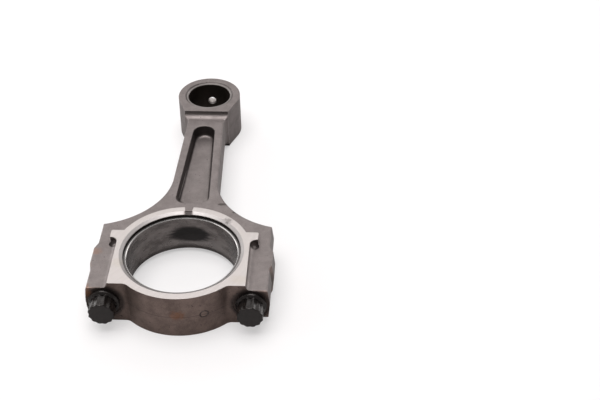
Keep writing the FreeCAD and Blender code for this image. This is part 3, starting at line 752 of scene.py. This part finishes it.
# ---- mesh workshop --------------------------------------------------------------------------------
class Workshop:
    """Models pieces with the mesh tools, one piece at a time."""

    def clear(self) -> None:
        """Goes back to object mode with nothing selected."""
        if bpy.context.mode != "OBJECT":
            bpy.ops.object.mode_set(mode="OBJECT")
        bpy.ops.object.select_all(action="DESELECT")

    def pick(self, piece: bpy.types.Object) -> None:
        """Makes one piece the selected and active one."""
        self.clear()
        piece.select_set(True)
        bpy.context.view_layer.objects.active = piece

    def edit(self, piece: bpy.types.Object) -> None:
        """Opens a piece in edit mode with all of it selected."""
        self.pick(piece)
        bpy.ops.object.mode_set(mode="EDIT")
        bpy.ops.mesh.select_all(action="SELECT")

    def settle(self, piece: bpy.types.Object) -> None:
        """Moves the piece's place and turn into its mesh."""
        self.pick(piece)
        bpy.ops.object.transform_apply(location=True, rotation=True, scale=True)

    def close(self, piece: bpy.types.Object) -> None:
        """Merges doubled corners and points every face outwards."""
        self.settle(piece)
        self.edit(piece)
        bpy.ops.mesh.remove_doubles(threshold=WELD)
        bpy.ops.mesh.normals_make_consistent(inside=False)
        self.clear()

    def trace(self, name: str, points: list[Vector]) -> bpy.types.Object:
        """Draws a line of edges by drawing one corner out from point to point.

        Args:
            name: The new piece's name.
            points: The line's points.

        Returns:
            The line.
        """
        self.clear()
        bpy.ops.mesh.primitive_plane_add(size=MM, location=points[0])
        made = bpy.context.object
        made.name = name
        self.settle(made)
        self.edit(made)
        bpy.ops.mesh.merge(type="CENTER")
        for start, end in zip(points, points[1:]):
            bpy.ops.mesh.extrude_region_move(TRANSFORM_OT_translate={"value": end - start})
        self.clear()
        return made

    def turn(self, name: str, points: list[Vector], centre: Vector, axis: Vector, steps: int,
             angle: float = 2 * math.pi, closed: bool = False) -> bpy.types.Object:
        """Turns a profile about an axis.

        Args:
            name: The new piece's name.
            points: The profile, one side of the axis.
            centre: A point on the axis.
            axis: The axis's direction.
            steps: How many steps make the turn.
            angle: How far it goes round.
            closed: Whether the profile is a loop, filled at the ends of a part turn.

        Returns:
            The turned piece.
        """
        made = self.trace(name, points + points[:1] if closed else points)
        self.edit(made)
        bpy.ops.mesh.remove_doubles(threshold=WELD)
        if closed and angle < 2 * math.pi:
            bpy.ops.mesh.select_all(action="SELECT")
            bpy.ops.mesh.edge_face_add()
        bpy.ops.mesh.select_all(action="SELECT")
        bpy.ops.mesh.spin(steps=steps, angle=angle, center=centre, axis=axis)
        self.close(made)
        return made

    def combine(self, piece: bpy.types.Object, tool: bpy.types.Object, operation: str) -> None:
        """Cuts, joins or crosses a piece with a tool shape, which is used up.

        Args:
            piece: The piece to change.
            tool: The other shape.
            operation: DIFFERENCE, UNION or INTERSECT.
        """
        self.pick(piece)
        change = piece.modifiers.new("combine", "BOOLEAN")
        change.operation, change.object, change.solver = operation, tool, "EXACT"
        bpy.ops.object.modifier_apply(modifier=change.name)
        bpy.data.objects.remove(tool, do_unlink=True)

    def soften(self, piece: bpy.types.Object, width: float, above: float = 25.0,
               segments: int = 2) -> None:
        """Bevels the sharp edges of a piece.

        Args:
            piece: The piece to change.
            width: Width of the bevel in metres.
            above: Least angle of an edge, in degrees.
            segments: How many strips round the bevel.
        """
        self.pick(piece)
        bevel = piece.modifiers.new("soften", "BEVEL")
        bevel.width, bevel.segments = width, segments
        bevel.limit_method, bevel.angle_limit = "ANGLE", math.radians(above)
        bpy.ops.object.modifier_apply(modifier=bevel.name)

    def merge(self, pieces: list[bpy.types.Object]) -> bpy.types.Object:
        """Makes several shapes one object, the first."""
        self.pick(pieces[0])
        for piece in pieces[1:]:
            piece.select_set(True)
        bpy.ops.object.join()
        return pieces[0]

    def copy(self, piece: bpy.types.Object, name: str, shift: Vector, scale: Vector) -> bpy.types.Object:
        """A copy with its own mesh, moved and scaled or mirrored."""
        self.pick(piece)
        bpy.ops.object.duplicate(linked=False)
        made = bpy.context.object
        made.name = name
        made.location, made.scale = shift, scale
        self.close(made)
        return made

    def finish(self, piece: bpy.types.Object, material: bpy.types.Material, stands_for: str, body: str,
               slot: str) -> None:
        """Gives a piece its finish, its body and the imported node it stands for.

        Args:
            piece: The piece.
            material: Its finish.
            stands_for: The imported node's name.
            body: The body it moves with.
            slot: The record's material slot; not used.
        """
        self.pick(piece)
        bpy.ops.object.shade_smooth_by_angle(angle=math.radians(28))
        self.clear()
        piece.data.materials.clear()
        piece.data.materials.append(material)
        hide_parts(stands_for)
        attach(piece, body)
        log.info("%s modelled with %d faces", piece.name, len(piece.data.polygons))


@dataclass(frozen=True)
class ScrewShape:
    """A twelve-point flange screw, in metres. The ridge's corners are shares of its depth and pitch."""

    points: int = 12
    face_r: float = 5.3 * MM
    point_r: float = 6.35 * MM
    valley_r: float = 5.72 * MM
    rounding: float = 1.3 * MM
    head_length: float = 7.9 * MM
    head_bevel: float = 0.42 * MM
    rim: float = 7.8 * MM
    flange_edge: float = 1.5 * MM
    fillet: float = 0.6 * MM
    shank_r: float = 4.35 * MM
    thread_r: float = 4.48 * MM
    root_r: float = 3.9 * MM
    pitch: float = 1.0 * MM
    lead_in: float = 1.63 * MM
    ridge: tuple[tuple[float, float], ...] = ((0.0, 0.0), (0.0, 0.14), (1.0, 0.5), (1.0, 0.62), (0.0, 0.98),
                                              (0.0, 1.0))
    thread_from: float = 3.1 * MM
    thread_to: float = 19.3 * MM
    tip_r: float = 3.45 * MM
    lathe_centre_r: float = 1.1 * MM


@dataclass(frozen=True)
class RingShape:
    """How a thin ring's ends are eased, in metres."""

    inside: float
    outside: float


@dataclass(frozen=True)
class TangShape:
    """The box that a shell's tang is pressed out to, in metres."""

    low: tuple[float, float, float] = (0.0275, 0.0, 0.0030)
    high: tuple[float, float, float] = (0.0291, 0.0032, 0.0075)
    rounding: float = 0.25 * MM


SHELL = RingShape(0.35 * MM, 0.15 * MM)
BUSH = RingShape(0.4 * MM, 0.2 * MM)
SLEEVE = RingShape(0.22 * MM, 0.22 * MM)
SLEEVE_BORE_R = 4.66 * MM
OIL_HOLE_IN_BUSH_R = 2.15 * MM
ALONG_Y = Vector((0, 1, 0))


class PieceMaker:
    """Models the rod's small pieces in full detail."""

    def __init__(self, sizes: RodSizes, shop: Workshop) -> None:
        """Keeps the sizes and the workshop."""
        self.sizes = sizes
        self.shop = shop

    def section(self, ring: RingShape, inner: float, outer: float, half: float) -> list[tuple[float, float]]:
        """A ring's section, from its radii and half length, as radius and place along the axis."""
        edge, back = ring.inside, ring.outside
        return [(inner, -half + edge), (inner + edge, -half), (outer - back, -half), (outer, -half + back),
                (outer, half - back), (outer - back, half), (inner + edge, half), (inner, half - edge)]

    def lathe(self, name: str, outline: list[tuple[float, float]], x: float, steps: int,
              closed: bool = False) -> bpy.types.Object:
        """Turns an outline about an axis along Y.

        Args:
            name: The new shape's name.
            outline: Radius and Y of each corner.
            x: The axis's place.
            steps: How many steps make the turn.
            closed: Whether the outline is a loop.

        Returns:
            The turned shape.
        """
        points = [Vector((x + radius, y, 0.0)) for radius, y in outline]
        return self.shop.turn(name, points, Vector((x, 0, 0)), ALONG_Y, steps, closed=closed)

    def head(self, shape: ScrewShape) -> bpy.types.Object:
        """The screw's twelve-point head, its points rounded over towards the flat face."""
        x, front = self.sizes.screw_x, self.sizes.screw_front
        centre = Vector((x, front, 0.0))
        self.shop.clear()
        bpy.ops.mesh.primitive_circle_add(vertices=2 * shape.points, radius=shape.point_r, fill_type="NGON",
                                          location=centre, rotation=(math.pi / 2, 0.0, 0.0))
        star = bpy.context.object
        star.name = "screw_right"
        self.shop.settle(star)
        self.shop.edit(star)
        bpy.ops.mesh.select_mode(type="VERT")
        bpy.ops.mesh.select_all(action="DESELECT")
        bpy.ops.object.mode_set(mode="OBJECT")
        for corner in star.data.vertices:
            away = corner.co - centre
            step = round(math.atan2(away.z, away.x) * shape.points / math.pi)
            corner.select = step % 2 == 0
        bpy.ops.object.mode_set(mode="EDIT")
        bpy.ops.transform.resize(value=(shape.valley_r / shape.point_r,) * 3, center_override=centre)
        bpy.ops.mesh.select_all(action="SELECT")
        bpy.ops.mesh.extrude_region_move(TRANSFORM_OT_translate={"value": (0.0, shape.head_length, 0.0)})
        self.shop.close(star)
        self.shop.soften(star, shape.head_bevel, 20.0, 4)
        wide, rise = shape.point_r + 0.3 * MM, shape.rounding
        arc = [(shape.face_r + (wide - shape.face_r) * math.sin(turn), front + rise * (1.0 - math.cos(turn)))
               for turn in (math.radians(15.0 * step) for step in range(7))]
        behind = front + 1.2 * shape.head_length
        dome = self.lathe("dome", [(0.0, front), *arc, (wide, behind), (0.0, behind)], x, 96)
        self.shop.combine(star, dome, "INTERSECT")
        self.shop.soften(star, 0.1 * MM, 30.0)
        return star

    def stem(self, shape: ScrewShape) -> bpy.types.Object:
        """The screw's flange, plain shank and tip, turned in one."""
        x, rim = self.sizes.screw_x, self.sizes.screw_front + shape.rim
        seat = rim + shape.flange_edge
        flange = self.sizes.flange_r
        bend = [(shape.valley_r - 0.1 * MM + shape.fillet * (1 - math.sin(turn)),
                 rim - 0.8 * MM - shape.fillet * math.cos(turn) + shape.fillet)
                for turn in (math.radians(22.5 * step) for step in range(5))]
        outline = [(0.0, rim - shape.fillet)] + sorted(bend) + [
            (flange - 0.35 * MM, rim - 0.18 * MM), (flange - 0.08 * MM, rim), (flange, rim + 0.22 * MM),
            (flange, seat - 0.25 * MM), (flange - 0.25 * MM, seat), (shape.shank_r + 0.3 * MM, seat),
            (shape.shank_r, seat + 0.3 * MM), (shape.shank_r, shape.thread_from - 0.6 * MM),
            (shape.root_r, shape.thread_from), (shape.root_r, shape.thread_from + 0.4 * MM),
            (0.0, shape.thread_from + 0.4 * MM)]
        return self.lathe("stem", outline, x, 96)

    def thread(self, shape: ScrewShape) -> bpy.types.Object:
        """The screw's right-hand thread: one turn's profile swept up a helix, cut square at both ends."""
        x, pitch = self.sizes.screw_x, shape.pitch
        start = shape.thread_from - shape.lead_in
        turns = math.ceil((shape.thread_to - start) / pitch) + 1
        depth = shape.thread_r - shape.root_r
        points = [Vector((shape.root_r + out * depth, start + up * pitch, 0.0)) for out, up in shape.ridge]
        ridge = self.shop.trace("thread", points)
        self.shop.pick(ridge)
        sweep = ridge.modifiers.new("sweep", "SCREW")
        sweep.axis, sweep.angle, sweep.steps, sweep.render_steps = "Y", 2 * math.pi, 48, 48
        sweep.screw_offset, sweep.iterations = pitch, turns
        sweep.use_merge_vertices, sweep.merge_threshold = True, WELD
        bpy.ops.object.modifier_apply(modifier=sweep.name)
        ridge.location = (x, 0.0, 0.0)
        self.shop.settle(ridge)
        for level, keeps_up in ((shape.thread_from, True), (shape.thread_to, False)):
            self.shop.edit(ridge)
            bpy.ops.mesh.remove_doubles(threshold=WELD)
            bpy.ops.mesh.select_all(action="SELECT")
            bpy.ops.mesh.bisect(plane_co=(x, level, 0.0), plane_no=ALONG_Y, use_fill=True,
                                threshold=CUT_WELD, clear_inner=keeps_up, clear_outer=not keeps_up)
        self.shop.close(ridge)
        return ridge

    def tip(self, shape: ScrewShape) -> bpy.types.Object:
        """The screw's bevelled tip past the thread, with a shallow lathe centre in its end."""
        x, end = self.sizes.screw_x, self.sizes.screw_tip
        outline = [(0.0, shape.thread_to - 0.3 * MM), (shape.root_r, shape.thread_to - 0.3 * MM),
                   (shape.root_r, shape.thread_to + 0.15 * MM), (shape.tip_r, end - 0.1 * MM),
                   (shape.tip_r - 0.25 * MM, end), (shape.lathe_centre_r, end), (0.0, end - 0.6 * MM)]
        return self.lathe("tip", outline, x, 64)

    def screws(self, material: bpy.types.Material) -> None:
        """Both cap screws: one modelled, one copied beside it."""
        shape = ScrewShape()
        right = self.shop.merge([self.head(shape), self.stem(shape), self.thread(shape), self.tip(shape)])
        shift = Vector((-2.0 * self.sizes.screw_x, 0.0, 0.0))
        left = self.shop.copy(right, "screw_left", shift, Vector((1, 1, 1)))
        for piece, side in ((right, "right"), (left, "left")):
            self.shop.finish(piece, material, f"cap_screw_{side}", f"screw_{side}", "screw_black")

    def shells(self, material: bpy.types.Material) -> None:
        """Both bearing shells: half a ring with a pressed-out tang, and its mirror image."""
        sizes, tang_shape = self.sizes, TangShape()
        outline = self.section(SHELL, sizes.crankpin_r, sizes.housing_r, sizes.shell_z)
        points = [Vector((radius, 0.0, z)) for radius, z in outline]
        rod_side = self.shop.turn("shell_rod_side", points, Vector(), Vector((0, 0, -1)), 120, math.pi, True)
        self.shop.clear()
        low, high = Vector(tang_shape.low), Vector(tang_shape.high)
        bpy.ops.mesh.primitive_cube_add(size=1.0, location=(low + high) / 2, scale=high - low)
        tang = bpy.context.object
        self.shop.settle(tang)
        self.shop.soften(tang, tang_shape.rounding)
        self.shop.combine(rod_side, tang, "UNION")
        self.shop.close(rod_side)
        cap_side = self.shop.copy(rod_side, "shell_cap_side", Vector(), Vector((1, -1, 1)))
        for piece, side in ((rod_side, "rod"), (cap_side, "cap")):
            self.shop.finish(piece, material, f"bearing_shell_{side}_side", side, "bearing_lining")

    def bush(self, material: bpy.types.Material) -> None:
        """The small end's bush: a turned ring, chamfered in and out, with its oil hole."""
        inner, outer, y = self.sizes.pin_r, self.sizes.bush_r, self.sizes.centres
        outline = self.section(BUSH, inner, outer, self.sizes.bush_z)
        points = [Vector((radius, y, z)) for radius, z in outline]
        ring = self.shop.turn("bush", points, Vector((0, y, 0)), Vector((0, 0, 1)), 128, closed=True)
        hole_r, mouth_r, inside = OIL_HOLE_IN_BUSH_R, OIL_HOLE_IN_BUSH_R + 0.7 * MM, y + inner
        drill = [(0.0, inside - MM), (mouth_r, inside - MM), (mouth_r, inside - 0.45 * MM),
                 (hole_r, inside + 0.3 * MM), (hole_r, y + outer + MM), (0.0, y + outer + MM)]
        self.shop.combine(ring, self.lathe("drill", drill, 0.0, 48), "DIFFERENCE")
        self.shop.close(ring)
        self.shop.finish(ring, material, "small_end_bush", "rod", "bush_bronze")

    def sleeves(self, material: bpy.types.Material) -> None:
        """Both dowel sleeves: one turned, with eased ends, and one copied."""
        x = self.sizes.screw_x
        outline = self.section(SLEEVE, SLEEVE_BORE_R, self.sizes.sleeve_r, self.sizes.sleeve_half)
        right = self.lathe("sleeve_right", outline, x, 96, closed=True)
        left = self.shop.copy(right, "sleeve_left", Vector((-2.0 * x, 0.0, 0.0)), Vector((1, 1, 1)))
        for piece, side in ((right, "right"), (left, "left")):
            self.shop.finish(piece, material, f"dowel_sleeve_{side}", "rod", "sleeve_steel")


# ---- studio ---------------------------------------------------------------------------------------
@dataclass(frozen=True)
class Softbox:
    """A large soft white lamp: where it hangs, its size in metres and its power in watts."""

    name: str
    place: tuple[float, float, float]
    size: tuple[float, float]
    power: float


@dataclass(frozen=True)
class Studio:
    """The pale floor, the soft light and the camera."""

    floor_size: float = 8.0
    floor_colour: Colour = (0.45, 0.44, 0.44)
    floor_rough: float = 0.9
    floor_shine: float = 0.1
    floor_glow: float = 0.46
    glow_colour: Colour = (1.0, 0.985, 0.985)
    sky: Colour = (1.0, 0.985, 0.98)
    sky_strength: float = 0.28
    aim: tuple[float, float, float] = (0.0, 0.02, 0.0)
    softboxes: tuple[Softbox, ...] = (
        Softbox("overhead", (-0.1, 0.02, 1.1), (1.05, 1.05), 12.8),
        Softbox("far", (0.0, 1.0, 0.72), (2.4, 0.7), 5.5),
        Softbox("left", (-1.0, -0.1, 0.45), (0.8, 0.6), 2.6),
        Softbox("far_left", (-1.25, 0.95, 0.25), (1.0, 0.5), 5.0),
        Softbox("far_right", (1.25, 0.95, 0.25), (1.0, 0.5), 5.0),
    )
    eye: tuple[float, float, float] = (0.0720, -0.4013, 0.3645)
    azimuth: float = -2.2
    pitch: float = 38.6
    roll: float = 0.34
    lens: float = 67.46
    sensor: float = 36.0
    sees: tuple[float, float] = (0.01, 20.0)

    def lay_floor(self, level: float) -> None:
        """A plain pale floor at a level, with a weak glow that the camera sees and the rod doesn't."""
        bpy.ops.mesh.primitive_plane_add(size=self.floor_size, location=(0.0, 0.0, level))
        floor = bpy.context.object
        floor.name = "floor"
        paint = bpy.data.materials.new("floor_paint")
        paint.use_nodes = True
        shader = paint.node_tree.nodes["Principled BSDF"]
        shader.inputs["Base Color"].default_value = (*self.floor_colour, 1.0)
        shader.inputs["Roughness"].default_value = self.floor_rough
        shader.inputs["Specular IOR Level"].default_value = self.floor_shine
        bench = Bench(paint.node_tree)
        seen = bench.node("ShaderNodeLightPath").outputs["Is Camera Ray"]
        shader.inputs["Emission Color"].default_value = (*self.glow_colour, 1.0)
        bench.feed(shader.inputs["Emission Strength"], bench.math("MULTIPLY", seen, self.floor_glow))
        floor.data.materials.append(paint)

    def light(self) -> None:
        """The sky and the softboxes."""
        world = bpy.data.worlds.new("studio_sky")
        bpy.context.scene.world = world
        world.use_nodes = True
        backdrop = world.node_tree.nodes["Background"]
        backdrop.inputs["Color"].default_value = (*self.sky, 1.0)
        backdrop.inputs["Strength"].default_value = self.sky_strength
        for box in self.softboxes:
            lamp = bpy.data.lights.new(box.name, "AREA")
            lamp.shape, lamp.energy = "RECTANGLE", box.power
            lamp.size, lamp.size_y = box.size
            stand = bpy.data.objects.new(box.name, lamp)
            stand.visible_camera = False
            stand.location = box.place
            stand.rotation_euler = (Vector(self.aim) - Vector(box.place)).to_track_quat("-Z", "Y").to_euler()
            bpy.context.scene.collection.objects.link(stand)

    def set_camera(self) -> None:
        """The camera in front of the big end, looking down along the rod."""
        azimuth, pitch = math.radians(self.azimuth), math.radians(self.pitch)
        forward = Vector((math.sin(azimuth) * math.cos(pitch), math.cos(azimuth) * math.cos(pitch),
                          -math.sin(pitch)))
        roll = Matrix.Rotation(-math.radians(self.roll), 3, "Z")
        turn = forward.to_track_quat("-Z", "Y").to_matrix() @ roll
        data = bpy.data.cameras.new("camera")
        data.lens, data.sensor_width = self.lens, self.sensor
        data.clip_start, data.clip_end = self.sees
        camera = bpy.data.objects.new("camera", data)
        camera.matrix_world = Matrix.Translation(self.eye) @ turn.to_4x4()
        bpy.context.scene.collection.objects.link(camera)
        bpy.context.scene.camera = camera
        bpy.context.scene.view_settings.view_transform = "Standard"


def main() -> None:
    """Builds the pieces in order, dresses them and sets the studio."""
    logging.basicConfig(level=logging.INFO, format="%(name)s: %(message)s")
    sizes = RodSizes.from_frame()
    effects = Effects()
    finisher = Finisher(sizes, effects)
    dress("rod_body", finisher.forged("rod_forging", ForgedFinish(spots=ROD_SPOTS), ForgedZones.ROD))
    dress("rod_cap", finisher.forged("cap_forging", ForgedFinish(spots=CAP_SPOTS), ForgedZones.CAP))
    makes = PieceMaker(sizes, Workshop())
    makes.shells(finisher.lining("bearing_lining", LiningFinish()))
    # The bush's last colour paints its pin bore near-black as painted shade.
    makes.bush(finisher.turned_metal("bush_metal", TurnedFinish(
        (0.27, 0.245, 0.235), (0.19, 0.17, 0.165), 0.4, sizes.centres, (0.046, 0.034, 0.029))))
    makes.sleeves(finisher.turned_metal("sleeve_steel", TurnedFinish(
        (0.6, 0.59, 0.58), (0.45, 0.44, 0.43), 0.25)))
    makes.screws(finisher.black_oxide("black_oxide", OxideFinish()))
    studio = Studio()
    studio.lay_floor(-sizes.face_z)
    studio.light()
    studio.set_camera()


if __name__ == "__main__":
    main()
